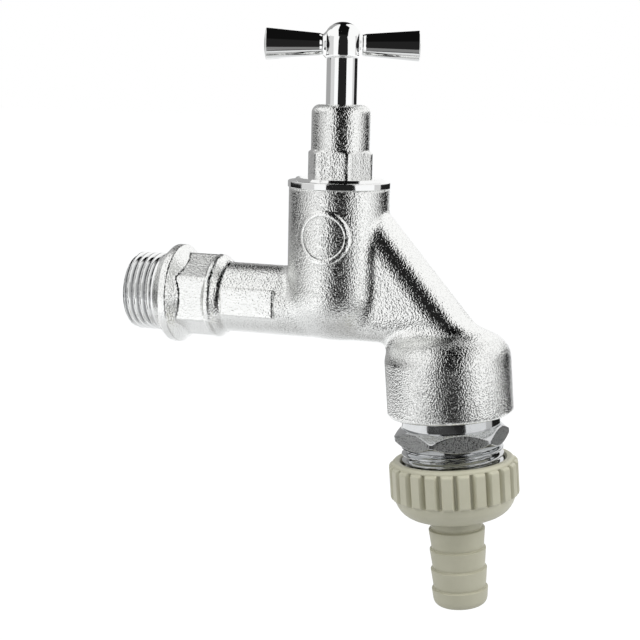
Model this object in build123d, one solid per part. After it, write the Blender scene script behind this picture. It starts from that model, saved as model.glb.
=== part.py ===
"""Bib tap with a T handle and a hose union. All sizes are in millimetres.

The origin lies on the inlet axis at the inner end of the inlet thread. +X runs to the outlet and +Z runs
up the stem. The outlet pieces are drawn on an upright axis and tilted into place together.
"""
import os
from math import cos, pi, radians, sin, sqrt, tan

from build123d import *

os.makedirs("parts", exist_ok=True)

# Inlet end: a half-inch parallel pipe thread, a turned ring and a hexagon
INLET_THREAD_D = 20.955
INLET_THREAD_L = 9.0
INLET_THREAD_CHAMFER = 1.0
INLET_BORE_D = 12.4
RING_D = 26.4
RING_CONE_L = 2.9
RING_LAND_L = 2.0
RING_FLANK_L = 2.9
RING_ROUND = 0.7
INLET_HEX_AF = 19.5
INLET_HEX_L = 10.6
INLET_HEX_CHAMFER_DEG = 47.0
TUBE_D = 18.5
PAD_L = 15.2
PAD_H = 7.6
PAD_RAISE = 0.4
PAD_GAP = 0.6
PAD_ROUND = 0.6

# Barrel and its seat
STEM_X = 48.5
BARREL_D = 26.2
BARREL_TOP = 30.65
BARREL_BORE_D = 21.0
BARREL_BOTTOM_LIFT = 0.4
SEAT_WALL = 2.3
SEAT_LIP_H = 1.0
SEAT_LIP_T = 1.4
SEAT_HOLE_D = 11.0
WAY_PAST_SEAT = 1.2
MEDALLION_D = 13.8
MEDALLION_RING_W = 1.45
MEDALLION_RAISE = 0.45
MEDALLION_BELOW_TOP = 12.0

# Spout
SPOUT_W = 16.0
SPOUT_RIDGE_BELOW_TOP = 5.8
SPOUT_RIDGE_AT_BELL = 0.25
SPOUT_DUCT_D = 11.2
SPOUT_RIDGE_FLAT = 0.6
SPOUT_EDGE_ROUND = 4.0
CAST_FILLET = 1.5

# Bell, on an axis that leans out from the stem
OUTLET_X = 29.15
OUTLET_TILT = 5.2
BELL_D = 32.6
BELL_TOP = 5.6
BELL_BOTTOM = 26.4
BELL_SHOULDER_ROUND = 7.0
BELL_EDGE_ROUND = 0.9
BELL_WALL = 3.45
BELL_BORE_L = 11.4
BELL_CAVITY_L = 4.5
BELL_LEDGE = 2.2

# Bonnet
FLANGE_D = 26.8
FLANGE_T = 1.65
FLANGE_STEP_D = 22.4
FLANGE_STEP_T = 0.75
BONNET_HEX_AF = 15.4
BONNET_HEX_H = 7.0
BONNET_HEX_CHAMFER = 0.45
SLEEVE_D = 15.2
SLEEVE_H = 11.7
SLEEVE_ROUND = 2.2
SHANK_L = 9.6
BONNET_RING_WIRE = 1.3
BONNET_TURN = 1.0

# Spindle, jumper and washer
SCREW_D = 10.0
SCREW_L = 12.5
STEM_D = 8.0
STEM_L = 16.5
LIFT = 5.0
LIFT_SPARE = 0.5
TANG_W = 4.6
TANG_L = 14.0
STEM_RING_WIRE = 1.5
STEM_RING_LOW = 8.5
STEM_RING_STEP = 3.5
JUMPER_D = 14.4
JUMPER_T = 2.5
JUMPER_STEM_D = 4.4
JUMPER_STEM_L = 6.0
JUMPER_STUD_D = 3.0
WASHER_T = 3.0
WASHER_NUT_AF = 5.5
WASHER_NUT_T = 2.2
WASHER_NUT_STUD = 0.6

# T handle
HUB_D = 9.84
HUB_H = 9.0
HUB_ROUND = 0.8
HUB_ABOVE_SLEEVE = 11.8
ARM_LENGTH = 40.0
ARM_END_D = 8.0
ARM_NECK_D = 5.2
ARM_ROOT_D = 5.8
ARM_ROOT_AT = 5.9
ARM_NECK_L = 0.9
ARM_DOME = 0.5
ARM_RISE = 3.2
HANDLE_TURN = 18.0

# Outlet nipple
NECK_SHOWN = 3.1
NIPPLE_HEX_AF = 26.6
NIPPLE_HEX_T = 5.0
NIPPLE_HEX_TURNED_D = 29.9
NIPPLE_HEX_FACE_D = 25.9
NIPPLE_HEX_CHAMFER_DEG = 36.0
NIPPLE_TURN = 23.0
HOSE_THREAD_D = 26.441
HOSE_THREAD_L = 11.0
HOSE_THREAD_CHAMFER = 0.9
NIPPLE_WALL = 2.75
NIPPLE_BORE_L = 19.0
NIPPLE_WAY_D = 15.0
NIPPLE_GASKET_T = 1.4

# Check valve in the nipple
CHECK_L = 17.5
CHECK_SEAT_T = 4.0
CHECK_SEAT_W = 4.4
CHECK_WALL = 1.6
CHECK_RING_WIRE = 1.8
GUIDE_T = 3.0
GUIDE_HOLES = 6
GUIDE_HOLE_D = 3.6
POPPET_LAP = 1.5
POPPET_T = 1.8
POPPET_SEAL_T = 1.2
POPPET_STEM_D = 3.0
POPPET_BUTTON_D = 4.6
POPPET_BUTTON_H = 0.9
CHECK_LIFT = 3.0
SPRING_WIRE = 0.7
SPRING_MEAN_D = 6.4
SPRING_TURNS = 4.0

# Union nut and hose tail
UNION_GASKET_T = 2.0
NUT_WALL = 2.4
NUT_RIB_DEPTH = 0.95
NUT_RIBS = 24
NUT_RIB_SHARE = 0.64
NUT_RIB_L = 9.0
NUT_SHOULDER_L = 0.9
NUT_MOUTH_OVERLAP = 7.3
NUT_MOUTH_CHAMFER = 0.6
NUT_FLOOR_T = 4.2
NUT_DOME_ROUND = 6.5
TAIL_FLANGE_T = 2.0
TAIL_FLANGE_GAP = 0.9
TAIL_NECK_D = 13.6
TAIL_BORE_D = 9.6
TAIL_NECK_SHOWN = 3.3
BARBS = 4
BARB_PITCH = 5.33
BARB_D = 14.8
BARB_LOW_D = 14.1
TAIL_END_L = 4.7

# Clearances
RUNNING_GAP = 0.08
FIT_GAP = 0.1
SEAL_GAP = 0.05
THREAD_GAP = 0.2
SPRING_GAP = 0.03


# Drawing helpers
def profile(corners):
    """A closed face through corners given as (x, y, radius), each corner rounded to its radius."""
    stops = []
    for i, (x, y, r) in enumerate(corners):
        here = Vector(x, y)
        last = corners[i - 1]
        following = corners[(i + 1) % len(corners)]
        back = (Vector(last[0], last[1]) - here).normalized()
        ahead = (Vector(following[0], following[1]) - here).normalized()
        if r == 0:
            stops.append((here, None, here))
            continue
        half = radians(back.get_angle(ahead) / 2)
        reach = r / tan(half)
        middle = here + (back + ahead).normalized() * (r / sin(half) - r)
        stops.append((here + back * reach, middle, here + ahead * reach))
    edges = []
    for i, (start, middle, end) in enumerate(stops):
        if middle is not None:
            edges.append(ThreePointArc(start, middle, end))
        edges.append(Line(end, stops[(i + 1) % len(stops)][0]))
    return make_face(edges)


def turned(corners):
    """A body turned about the Z axis from (radius, height, rounding) corners."""
    return revolve(Plane.XZ * profile(corners), Axis.Z)


def turned_on_x(corners):
    """A body turned about the X axis from (x, radius, rounding) corners."""
    return revolve(Plane.XZ * profile(corners), Axis.X)


def ring(inner, outer, low, high):
    """A plain ring about the Z axis."""
    return turned([(inner, low, 0), (outer, low, 0), (outer, high, 0), (inner, high, 0)])


def rod(radius, low, high):
    """A plain cylinder on the Z axis."""
    return Pos(0, 0, (low + high) / 2) * Cylinder(radius, high - low)


def hexagon(across, low, high, turn=0):
    """A hexagonal bar on the Z axis with a corner at the given turn from +X."""
    return extrude(Pos(0, 0, low) * RegularPolygon(across / 2, 6, False, turn), high - low)


def loop(wire, middle, height):
    """A round rubber ring about the Z axis."""
    return revolve(Plane.XZ * (Pos(middle, height) * Circle(wire / 2)), Axis.Z)


# Places shared by the pieces. Heights on the outlet axis count downwards as negative.
STEM = Pos(STEM_X, 0, 0)
OUTLET = Location((STEM_X + OUTLET_X, 0, 0), (0, -OUTLET_TILT, 0))
TUBE_R = TUBE_D / 2
SEAT_FLOOR = INLET_BORE_D / 2 + SEAT_WALL
SEAT_Z = SEAT_FLOOR + SEAT_LIP_H
WASHER_TOP = SEAT_Z + WASHER_T
SPINDLE_LOW = WASHER_TOP + JUMPER_T
SCREW_TOP = SPINDLE_LOW + SCREW_L
STEM_TOP = SCREW_TOP + STEM_L
SCREW_BORE_TOP = SCREW_TOP + LIFT + LIFT_SPARE
FLANGE_TOP = BARREL_TOP + FLANGE_T
HEX_LOW = FLANGE_TOP + FLANGE_STEP_T
SLEEVE_LOW = HEX_LOW + BONNET_HEX_H
SLEEVE_TOP = SLEEVE_LOW + SLEEVE_H
RING_SEAT = BONNET_RING_WIRE + 2 * SEAL_GAP
BELL_BORE_R = BELL_D / 2 - BELL_WALL
NECK_R = BELL_BORE_R - FIT_GAP
NIPPLE_BORE_R = NECK_R - NIPPLE_WALL
NIPPLE_TOP = -(BELL_BOTTOM - BELL_BORE_L + NIPPLE_GASKET_T)
NIPPLE_HEX_TOP = -(BELL_BOTTOM + NECK_SHOWN)
NIPPLE_HEX_LOW = NIPPLE_HEX_TOP - NIPPLE_HEX_T
NIPPLE_END = NIPPLE_HEX_LOW - HOSE_THREAD_L
CHECK_LOW = NIPPLE_TOP - NIPPLE_BORE_L
CHECK_TOP = CHECK_LOW + CHECK_L
CHECK_SEAT = CHECK_TOP - CHECK_SEAT_T
CHECK_R = NIPPLE_BORE_R - FIT_GAP
CHECK_SEAT_R = CHECK_R - CHECK_SEAT_W
POPPET_R = CHECK_SEAT_R + POPPET_LAP
POPPET_LOW = CHECK_SEAT - POPPET_SEAL_T - POPPET_T
GUIDE_TOP = CHECK_LOW + GUIDE_T
FLANGE_HIGH = NIPPLE_END - UNION_GASKET_T
FLANGE_LOW = FLANGE_HIGH - TAIL_FLANGE_T
NUT_TOP = NIPPLE_END + NUT_MOUTH_OVERLAP
NUT_LOW = FLANGE_LOW - NUT_FLOOR_T
NUT_BORE_R = HOSE_THREAD_D / 2 + THREAD_GAP
NUT_BASE_R = NUT_BORE_R + NUT_WALL
NUT_RIB_R = NUT_BASE_R + NUT_RIB_DEPTH
NUT_HOLE_R = BARB_D / 2 + THREAD_GAP
TAIL_FLANGE_R = NUT_BORE_R - TAIL_FLANGE_GAP


# Valve body: one casting from the inlet thread to the bell
def inlet_end():
    """Thread, ring, hexagon and tube, up to the stem axis."""
    thread_r = INLET_THREAD_D / 2
    ring_x = RING_CONE_L + RING_LAND_L
    hex_x = ring_x + RING_FLANK_L
    tube_x = hex_x + INLET_HEX_L
    slope = tan(radians(INLET_HEX_CHAMFER_DEG))
    outside = INLET_HEX_AF / sqrt(3) + 1
    round_part = turned_on_x([
        (-INLET_THREAD_L, 0, 0),
        (-INLET_THREAD_L, thread_r - INLET_THREAD_CHAMFER, 0),
        (INLET_THREAD_CHAMFER - INLET_THREAD_L, thread_r, 0),
        (0, thread_r, 0),
        (RING_CONE_L, RING_D / 2, RING_ROUND),
        (ring_x, RING_D / 2, RING_ROUND),
        (hex_x, TUBE_R, 0),
        (STEM_X, TUBE_R, 0),
        (STEM_X, 0, 0),
    ])
    section = Plane.YZ.offset(RING_CONE_L) * RegularPolygon(INLET_HEX_AF / 2, 6, False, 30)
    bar = extrude(section, tube_x - RING_CONE_L)
    chamfered = turned_on_x([
        (RING_CONE_L, 0, 0),
        (RING_CONE_L, outside, 0),
        (tube_x - (outside - TUBE_R) / slope, outside, 0),
        (tube_x, TUBE_R, 0),
        (tube_x, 0, 0),
    ])
    pad_x = tube_x + PAD_GAP + PAD_L / 2
    pad_face = Plane.XZ.offset(TUBE_R / 2) * (Pos(pad_x, 0) * RectangleRounded(PAD_L, PAD_H, PAD_ROUND))
    pad = extrude(pad_face, TUBE_R / 2 + PAD_RAISE)
    return round_part + (bar & chamfered) + pad


def spout_line():
    """Two points of the spout's ridge, in X and Z: where it leaves the barrel and where it meets the bell."""
    lean = radians(OUTLET_TILT)
    shoulder_r = BELL_D / 2 - BELL_SHOULDER_ROUND
    down = BELL_TOP + SPOUT_RIDGE_AT_BELL
    top = Vector(STEM_X + BARREL_D / 2, BARREL_TOP - SPOUT_RIDGE_BELOW_TOP)
    low_x = STEM_X + OUTLET_X + shoulder_r * cos(lean) + down * sin(lean)
    low = Vector(low_x, shoulder_r * sin(lean) - down * cos(lean))
    return top, low


def spout():
    """The sloped duct with its round ridge and the flat web under it."""
    half = SPOUT_W / 2
    top, low = spout_line()
    along = (low - top).normalized()
    start = top - along * (BARREL_D * 0.22)
    end = low + along * (BELL_SHOULDER_ROUND / 2)
    side = make_face(Polyline(
        (start.X, start.Y),
        (end.X, end.Y),
        (end.X, -TUBE_R),
        (STEM_X, -TUBE_R),
        (STEM_X, start.Y),
        close=True,
    ))
    block = extrude(Plane.XZ * side, half, both=True)
    ridges = block.edges().filter_by(Axis((0, 0, 0), (along.X, 0, along.Y)))
    block = fillet(ridges, half - SPOUT_RIDGE_FLAT / 2)
    edge_z = -sqrt(TUBE_R**2 - half**2)
    section = make_face([
        Line((-half, BARREL_TOP), (-half, edge_z)),
        ThreePointArc((-half, edge_z), (0, -TUBE_R), (half, edge_z)),
        Line((half, edge_z), (half, BARREL_TOP)),
        Line((half, BARREL_TOP), (-half, BARREL_TOP)),
    ])
    section = fillet(section.vertices().filter_by_position(Axis.Y, -TUBE_R, 0), SPOUT_EDGE_ROUND)
    return block & extrude(Plane.YZ.offset(STEM_X) * section, end.X - STEM_X + 1)


def medallion():
    """A plain raised ring that follows the front of the barrel."""
    barrel_r = BARREL_D / 2
    outer = MEDALLION_D / 2
    height = BARREL_TOP - MEDALLION_BELOW_TOP
    flat = Circle(outer) - Circle(outer - MEDALLION_RING_W)
    bar = extrude(Plane.XZ * (Pos(STEM_X, height) * flat), BARREL_D)
    return bar & (STEM * ring(barrel_r - 1, barrel_r + MEDALLION_RAISE, 0, BARREL_TOP))


def valve_body():
    barrel_r = BARREL_D / 2
    bore_r = BARREL_BORE_D / 2
    floor = BARREL_BOTTOM_LIFT - TUBE_R
    lower = inlet_end() + spout()
    barrel = STEM * turned([
        (0, floor, 0),
        (barrel_r, floor, barrel_r - SPOUT_RIDGE_FLAT / 2),
        (barrel_r, BARREL_TOP, 0),
        (0, BARREL_TOP, 0),
    ])
    body = barrel + lower
    body = fillet(new_edges(barrel, lower, combined=body), CAST_FILLET)
    bell_r = BELL_D / 2
    bell = OUTLET * turned([
        (0, -BELL_TOP, 0),
        (bell_r, -BELL_TOP, BELL_SHOULDER_ROUND),
        (bell_r, -BELL_BOTTOM, BELL_EDGE_ROUND),
        (0, -BELL_BOTTOM, 0),
    ])
    body = body + bell + medallion()
    way_r = INLET_BORE_D / 2
    way_end = STEM_X + SEAT_HOLE_D / 2 + WAY_PAST_SEAT
    way = turned_on_x([
        (-INLET_THREAD_L, 0, 0),
        (-INLET_THREAD_L, way_r, 0),
        (way_end, way_r, way_r / 2),
        (way_end, 0, 0),
    ])
    seat_r = SEAT_HOLE_D / 2
    chamber = STEM * turned([
        (seat_r + SEAT_LIP_T, SEAT_Z, 0),
        (seat_r + SEAT_LIP_T, SEAT_FLOOR, 0),
        (bore_r, SEAT_FLOOR, 0),
        (bore_r, BARREL_TOP - RING_SEAT, 0),
        (bore_r + RING_SEAT, BARREL_TOP - RING_SEAT, 0),
        (bore_r + RING_SEAT, BARREL_TOP, 0),
        (0, BARREL_TOP, 0),
        (0, SEAT_Z, 0),
    ])
    top, low = spout_line()
    along = (low - top).normalized()
    inward = Vector(along.Y, -along.X) * (SPOUT_W / 2)
    duct_top = top + inward
    duct_low = low + inward
    duct_plane = Plane((duct_top.X, 0, duct_top.Y), (0, 1, 0), (along.X, 0, along.Y))
    duct = extrude(duct_plane * Circle(SPOUT_DUCT_D / 2), (duct_low - duct_top).length)
    ledge = BELL_BORE_L - BELL_BOTTOM
    hollow = OUTLET * turned([
        (0, -BELL_BOTTOM, 0),
        (BELL_BORE_R, -BELL_BOTTOM, 0),
        (BELL_BORE_R, ledge, 0),
        (BELL_BORE_R - BELL_LEDGE, ledge, 0),
        (BELL_BORE_R - BELL_LEDGE, ledge + BELL_CAVITY_L, BELL_CAVITY_L / 2),
        (0, ledge + BELL_CAVITY_L, 0),
    ])
    return body - way - (STEM * rod(seat_r, 0, SEAT_Z)) - chamber - duct - hollow


# Bonnet and the pieces that turn in it
def bonnet():
    shank_r = BARREL_BORE_D / 2 - FIT_GAP
    low = BARREL_TOP - SHANK_L
    solid = turned([
        (0, low, 0),
        (shank_r, low, 0),
        (shank_r, BARREL_TOP, 0),
        (FLANGE_D / 2, BARREL_TOP, 0),
        (FLANGE_D / 2, FLANGE_TOP, FLANGE_T / 6),
        (FLANGE_STEP_D / 2 + FLANGE_STEP_T, FLANGE_TOP, 0),
        (FLANGE_STEP_D / 2, HEX_LOW, 0),
        (SLEEVE_D / 2, HEX_LOW, 0),
        (SLEEVE_D / 2, SLEEVE_TOP, SLEEVE_ROUND),
        (0, SLEEVE_TOP, 0),
    ])
    corner_r = BONNET_HEX_AF / sqrt(3)
    eased = turned([
        (0, HEX_LOW, 0),
        (corner_r + 1, HEX_LOW, 0),
        (corner_r + 1, SLEEVE_LOW - BONNET_HEX_CHAMFER * (corner_r + 1 - SLEEVE_D / 2), 0),
        (SLEEVE_D / 2, SLEEVE_LOW, 0),
        (0, SLEEVE_LOW, 0),
    ])
    solid = solid + (hexagon(BONNET_HEX_AF, HEX_LOW, SLEEVE_LOW, BONNET_TURN) & eased)
    solid = solid - rod(SCREW_D / 2 + RUNNING_GAP, low, SCREW_BORE_TOP)
    return STEM * (solid - rod(STEM_D / 2 + RUNNING_GAP, low, SLEEVE_TOP))


def bonnet_o_ring():
    middle = BARREL_BORE_D / 2 + RING_SEAT / 2
    return STEM * loop(BONNET_RING_WIRE, middle, BARREL_TOP - RING_SEAT / 2)


STEM_RING_R = STEM_D / 2 + RUNNING_GAP - SEAL_GAP - STEM_RING_WIRE / 2
STEM_RING_Z = SCREW_TOP + STEM_RING_LOW


def spindle():
    groove_r = STEM_RING_R - STEM_RING_WIRE / 2 - SEAL_GAP
    groove_h = STEM_RING_WIRE / 2 + SEAL_GAP
    solid = rod(SCREW_D / 2, SPINDLE_LOW, SCREW_TOP) + rod(STEM_D / 2, SCREW_TOP, STEM_TOP)
    tang = Pos(0, 0, STEM_TOP + TANG_L / 2) * Rot(0, 0, HANDLE_TURN) * Box(TANG_W, TANG_W, TANG_L)
    solid = solid + tang
    for height in (STEM_RING_Z, STEM_RING_Z + STEM_RING_STEP):
        solid = solid - ring(groove_r, STEM_D, height - groove_h, height + groove_h)
    hole_r = JUMPER_STEM_D / 2 + RUNNING_GAP
    solid = solid - rod(hole_r, SPINDLE_LOW, SPINDLE_LOW + JUMPER_STEM_L + LIFT_SPARE)
    return STEM * solid


def stem_ring(height):
    return STEM * loop(STEM_RING_WIRE, STEM_RING_R, height)


def jumper():
    stud_low = SEAT_Z - WASHER_NUT_T - WASHER_NUT_STUD
    solid = rod(JUMPER_D / 2, WASHER_TOP, SPINDLE_LOW)
    solid = solid + rod(JUMPER_STEM_D / 2, SPINDLE_LOW, SPINDLE_LOW + JUMPER_STEM_L)
    return STEM * (solid + rod(JUMPER_STUD_D / 2, stud_low, WASHER_TOP))


def seat_washer():
    return STEM * ring(JUMPER_STUD_D / 2 + FIT_GAP, JUMPER_D / 2, SEAT_Z, WASHER_TOP)


def washer_nut():
    blank = hexagon(WASHER_NUT_AF, SEAT_Z - WASHER_NUT_T, SEAT_Z)
    return STEM * (blank - rod(JUMPER_STUD_D / 2 + FIT_GAP, SEAT_Z - WASHER_NUT_T, SEAT_Z))


def tee_handle():
    hub_low = SLEEVE_TOP + HUB_ABOVE_SLEEVE
    hub_r = HUB_D / 2
    shank = rod(STEM_D / 2, STEM_TOP, hub_low + HUB_H / 2)
    hub = turned([
        (0, hub_low, 0),
        (hub_r * 0.97, hub_low, HUB_ROUND),
        (hub_r, hub_low + HUB_H, hub_r * 0.95),
        (0, hub_low + HUB_H, 0),
    ])
    reach = ARM_LENGTH / 2 - ARM_DOME
    end_r = ARM_END_D / 2
    ball_r = (end_r**2 + ARM_DOME**2) / (2 * ARM_DOME)
    bulge = sqrt(ball_r**2 - end_r**2 / 4) - ball_r + ARM_DOME
    outline = make_face([
        Line((0, 0), (0, ARM_NECK_D / 2)),
        Line((0, ARM_NECK_D / 2), (ARM_ROOT_AT - ARM_NECK_L, ARM_NECK_D / 2)),
        Line((ARM_ROOT_AT - ARM_NECK_L, ARM_NECK_D / 2), (ARM_ROOT_AT, ARM_ROOT_D / 2)),
        Line((ARM_ROOT_AT, ARM_ROOT_D / 2), (reach, end_r)),
        ThreePointArc((reach, end_r), (reach + bulge, end_r / 2), (reach + ARM_DOME, 0)),
        Line((reach + ARM_DOME, 0), (0, 0)),
    ])
    arm = revolve(Plane.XZ * outline, Axis.X)
    arms = Pos(0, 0, hub_low + ARM_RISE) * (arm + Rot(0, 0, 180) * arm)
    socket_w = TANG_W + 2 * FIT_GAP
    socket_l = TANG_L + LIFT_SPARE
    socket = Pos(0, 0, STEM_TOP + socket_l / 2) * Box(socket_w, socket_w, socket_l)
    return STEM * Rot(0, 0, HANDLE_TURN) * (shank + hub + arms - socket)


# Outlet nipple with the check valve in it
def outlet_nipple():
    thread_r = HOSE_THREAD_D / 2
    face_r = NIPPLE_HEX_FACE_D / 2
    turned_r = NIPPLE_HEX_TURNED_D / 2
    drop = (turned_r - face_r) * tan(radians(NIPPLE_HEX_CHAMFER_DEG))
    blank = turned([
        (0, NIPPLE_HEX_LOW, 0),
        (face_r, NIPPLE_HEX_LOW, 0),
        (turned_r, NIPPLE_HEX_LOW + drop, 0),
        (turned_r, NIPPLE_HEX_TOP - drop, 0),
        (face_r, NIPPLE_HEX_TOP, 0),
        (0, NIPPLE_HEX_TOP, 0),
    ])
    grip = blank & hexagon(NIPPLE_HEX_AF, NIPPLE_HEX_LOW, NIPPLE_HEX_TOP, NIPPLE_TURN)
    neck = rod(NECK_R, NIPPLE_HEX_TOP, NIPPLE_TOP)
    thread = turned([
        (0, NIPPLE_END, 0),
        (thread_r - HOSE_THREAD_CHAMFER, NIPPLE_END, 0),
        (thread_r, NIPPLE_END + HOSE_THREAD_CHAMFER, 0),
        (thread_r, NIPPLE_HEX_LOW, 0),
        (0, NIPPLE_HEX_LOW, 0),
    ])
    solid = grip + neck + thread - rod(NIPPLE_BORE_R, CHECK_LOW, NIPPLE_TOP)
    return OUTLET * (solid - rod(NIPPLE_WAY_D / 2, NIPPLE_END, CHECK_LOW))


def nipple_gasket():
    return OUTLET * ring(NIPPLE_BORE_R, NECK_R, NIPPLE_TOP, NIPPLE_TOP + NIPPLE_GASKET_T)


CHECK_RING_R = NIPPLE_BORE_R - SEAL_GAP - CHECK_RING_WIRE / 2
CHECK_RING_Z = CHECK_TOP - CHECK_SEAT_T / 2


def check_valve_shell():
    groove_r = CHECK_RING_R - CHECK_RING_WIRE / 2 - SEAL_GAP
    groove_h = CHECK_RING_WIRE / 2 + SEAL_GAP
    solid = ring(CHECK_SEAT_R, CHECK_R, CHECK_SEAT, CHECK_TOP)
    solid = solid + ring(CHECK_R - CHECK_WALL, CHECK_R, CHECK_LOW, CHECK_SEAT)
    return OUTLET * (solid - ring(groove_r, NECK_R, CHECK_RING_Z - groove_h, CHECK_RING_Z + groove_h))


def check_valve_o_ring():
    return OUTLET * loop(CHECK_RING_WIRE, CHECK_RING_R, CHECK_RING_Z)


def check_valve_guide():
    outer = CHECK_R - CHECK_WALL - FIT_GAP
    inner = POPPET_STEM_D / 2 + RUNNING_GAP
    solid = ring(inner, outer, CHECK_LOW, GUIDE_TOP)
    holes = PolarLocations((inner + outer) / 2, GUIDE_HOLES) * rod(GUIDE_HOLE_D / 2, CHECK_LOW, GUIDE_TOP)
    return OUTLET * (solid - holes)


def check_poppet():
    disc_top = POPPET_LOW + POPPET_T
    solid = rod(POPPET_R, POPPET_LOW, disc_top)
    solid = solid + rod(POPPET_STEM_D / 2, CHECK_LOW, POPPET_LOW)
    return OUTLET * (solid + rod(POPPET_BUTTON_D / 2, disc_top, CHECK_SEAT + POPPET_BUTTON_H))


def poppet_seal():
    return OUTLET * ring(POPPET_BUTTON_D / 2 + FIT_GAP, POPPET_R, CHECK_SEAT - POPPET_SEAL_T, CHECK_SEAT)


def check_spring():
    low = GUIDE_TOP + SPRING_WIRE / 2 + SPRING_GAP
    high = POPPET_LOW - SPRING_WIRE / 2 - SPRING_GAP
    coil = Helix((high - low) / SPRING_TURNS, high - low, SPRING_MEAN_D / 2, center=(0, 0, low))
    section = Plane(coil @ 0, z_dir=coil % 0) * Circle(SPRING_WIRE / 2)
    return OUTLET * sweep(section, coil, is_frenet=True)


# Union nut and hose tail
def union_gasket():
    return OUTLET * ring(NIPPLE_WAY_D / 2, TAIL_FLANGE_R, FLANGE_HIGH, NIPPLE_END)


def union_nut():
    rib_high = NUT_TOP - NUT_SHOULDER_L
    rib_low = rib_high - NUT_RIB_L
    base = turned([
        (NUT_HOLE_R, NUT_LOW, 0),
        (NUT_BASE_R, NUT_LOW, NUT_DOME_ROUND),
        (NUT_BASE_R, NUT_TOP, NUT_SHOULDER_L),
        (NUT_BORE_R + NUT_MOUTH_CHAMFER, NUT_TOP, 0),
        (NUT_BORE_R, NUT_TOP - NUT_MOUTH_CHAMFER, 0),
        (NUT_BORE_R, FLANGE_LOW, 0),
        (NUT_HOLE_R, FLANGE_LOW, 0),
    ])
    groove_w = (1 - NUT_RIB_SHARE) * 2 * pi * NUT_RIB_R / NUT_RIBS
    groove = Pos(NUT_RIB_R, 0) * Rectangle(2 * NUT_RIB_DEPTH, groove_w)
    section = Circle(NUT_RIB_R) - PolarLocations(0, NUT_RIBS) * groove
    ribs = extrude(Pos(0, 0, rib_low) * (section - Circle(NUT_BASE_R - NUT_RIB_DEPTH)), NUT_RIB_L)
    eased = turned([
        (0, rib_low, 0),
        (NUT_RIB_R, rib_low, NUT_RIB_DEPTH),
        (NUT_RIB_R, rib_high, NUT_RIB_DEPTH),
        (0, rib_high, 0),
    ])
    return OUTLET * (base + (ribs & eased))


def hose_tail():
    bore_r = TAIL_BORE_D / 2
    corners = [
        (bore_r, FLANGE_HIGH, 0),
        (TAIL_FLANGE_R, FLANGE_HIGH, 0),
        (TAIL_FLANGE_R, FLANGE_LOW, 0),
        (TAIL_NECK_D / 2, FLANGE_LOW, 0),
    ]
    high = NUT_LOW - TAIL_NECK_SHOWN
    above_r = TAIL_NECK_D / 2
    for i in range(BARBS):
        edge = high - i * BARB_PITCH
        corners.append((above_r, edge, 0))
        corners.append((BARB_D / 2, edge, 0))
        above_r = BARB_LOW_D / 2
    end = high - (BARBS - 1) * BARB_PITCH - TAIL_END_L
    corners.append((BARB_LOW_D / 2, end, BARB_LOW_D / 2 - bore_r))
    corners.append((bore_r, end, 0))
    return OUTLET * turned(corners)


PIECES = {
    "valve_body": valve_body(),
    "bonnet": bonnet(),
    "bonnet_o_ring": bonnet_o_ring(),
    "tee_handle": tee_handle(),
    "spindle": spindle(),
    "spindle_o_ring_lower": stem_ring(STEM_RING_Z),
    "spindle_o_ring_upper": stem_ring(STEM_RING_Z + STEM_RING_STEP),
    "jumper": jumper(),
    "seat_washer": seat_washer(),
    "washer_nut": washer_nut(),
    "outlet_nipple": outlet_nipple(),
    "nipple_gasket": nipple_gasket(),
    "check_valve_shell": check_valve_shell(),
    "check_valve_o_ring": check_valve_o_ring(),
    "check_valve_guide": check_valve_guide(),
    "check_poppet": check_poppet(),
    "poppet_seal": poppet_seal(),
    "check_spring": check_spring(),
    "union_gasket": union_gasket(),
    "union_nut": union_nut(),
    "hose_tail": hose_tail(),
}
for name, piece in PIECES.items():
    export_step(piece, f"parts/{name}.step")
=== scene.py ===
from functools import reduce
from math import cos, hypot, pi, radians, sin, sqrt, tan

import bpy
import numpy as np
from mathutils import Matrix, Vector


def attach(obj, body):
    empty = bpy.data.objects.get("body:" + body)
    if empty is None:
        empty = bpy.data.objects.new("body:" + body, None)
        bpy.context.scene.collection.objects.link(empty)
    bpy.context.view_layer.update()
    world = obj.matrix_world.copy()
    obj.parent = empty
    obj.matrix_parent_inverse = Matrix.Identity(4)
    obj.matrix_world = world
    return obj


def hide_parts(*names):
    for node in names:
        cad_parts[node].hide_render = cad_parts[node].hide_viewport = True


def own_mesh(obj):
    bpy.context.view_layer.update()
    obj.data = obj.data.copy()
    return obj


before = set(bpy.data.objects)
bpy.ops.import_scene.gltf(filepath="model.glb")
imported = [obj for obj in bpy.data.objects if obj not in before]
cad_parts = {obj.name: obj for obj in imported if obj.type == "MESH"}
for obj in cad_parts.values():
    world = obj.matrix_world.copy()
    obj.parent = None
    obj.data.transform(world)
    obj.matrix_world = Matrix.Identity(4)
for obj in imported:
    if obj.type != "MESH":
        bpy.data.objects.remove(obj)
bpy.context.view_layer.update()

# Sizes of the part in millimetres, angles in radians
MM = 0.001
AXIS_R = 0.001
TINY = 1e-9

# Pipe threads
INLET_THREAD_R = 20.955 / 2
HOSE_THREAD_R = 26.441 / 2
PITCH = 1.814
THREAD_DEPTH = 1.162
THREAD_STRAIGHT = 0.55
THREAD_CREST = 0.14
THREAD_FLANK = 0.72
THREAD_FADE = 0.9
THREAD_ROW = 0.09
# Depths below the inlet thread's crest where the painted root shade is full, and where it fades out
THREAD_SHADE_FULL = 1.05
THREAD_SHADE_START = 0.4

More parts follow.
